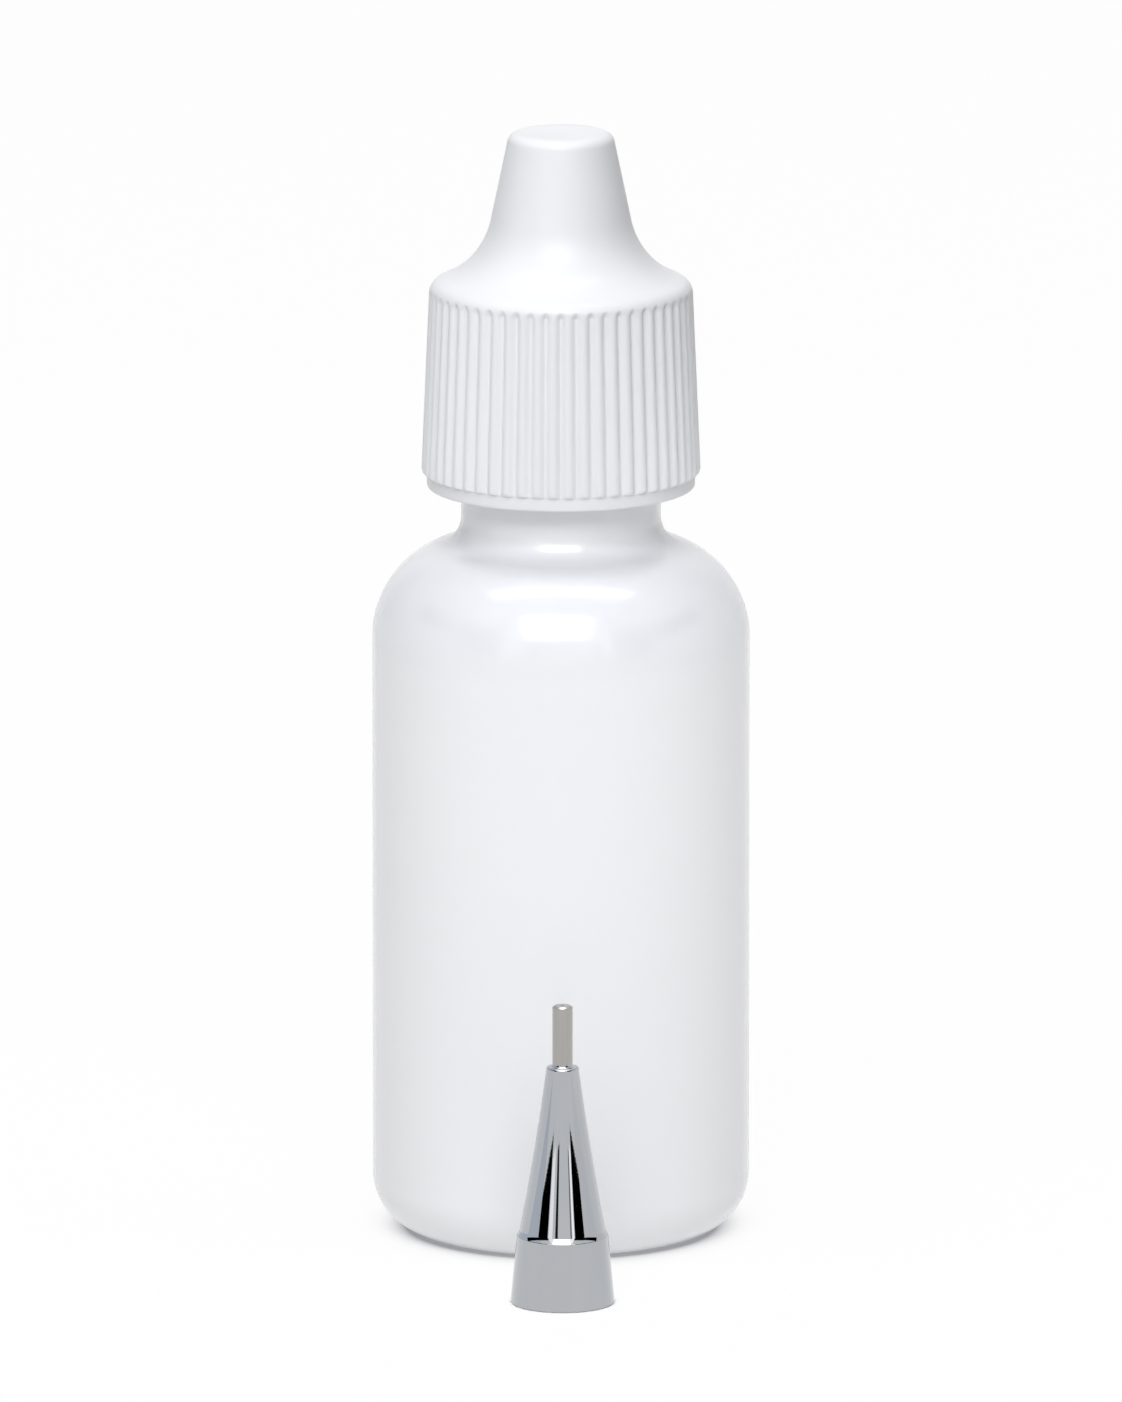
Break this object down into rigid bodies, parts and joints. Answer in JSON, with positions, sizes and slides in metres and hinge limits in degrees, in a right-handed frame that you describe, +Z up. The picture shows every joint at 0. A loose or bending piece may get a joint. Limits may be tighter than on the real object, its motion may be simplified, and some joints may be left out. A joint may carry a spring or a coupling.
{
  "type": "eye drop bottle",
  "caption": "Small squeeze dropper bottle with a ribbed screw cap and tapered snout, with a separate metal dispensing nib that pushes over its nozzle.",
  "frame": {"origin": "on the bottle's axis, in the plane of the floor that the bottle and the nib stand on", "axes": "+Z up along the bottle's axis; the nib stands at -Y, in front of the bottle; +X to the right seen from the front"},
  "size_m": [0.025, 0.0385, 0.0744],
  "materials": {
    "bottle_plastic": "soft gloss, milky white, slightly cool",
    "insert_plastic": "natural, translucent white, satin",
    "cap_plastic": "clean white, fine satin gloss",
    "seal_soft": "soft, pale grey, matt",
    "nib_plating": "bright plated, turned",
    "tube_steel": "fine drawn, warm grey"
  },
  "bodies": {
    "bottle": {"bottle": "bottle_plastic", "dropper_insert": "insert_plastic"},
    "seal": {"cap_seal": "seal_soft"},
    "cap": {"cap": "cap_plastic"},
    "nib": {"nib_body": "nib_plating", "nib_tube": "tube_steel"}
  },
  "joints": [
    {"name": "cap_lift", "type": "slide", "parent": "bottle", "child": "seal", "axis": [0, 0, 1], "range_m": [0, 0.00423]},
    {"name": "cap_turn", "type": "hinge", "parent": "seal", "child": "cap", "pos_m": [0, 0, 0.056], "axis": [0, 0, 1], "range_deg": [0, 720]},
    {"name": "nib_lift", "type": "slide", "parent": "bottle", "child": "nib", "axis": [0, 0, 1], "range_m": [0, 0.03]}
  ],
  "couplings": [
    {"joint": "cap_lift", "follows": "cap_turn", "m_per_rad": 0.00033693}
  ]
}
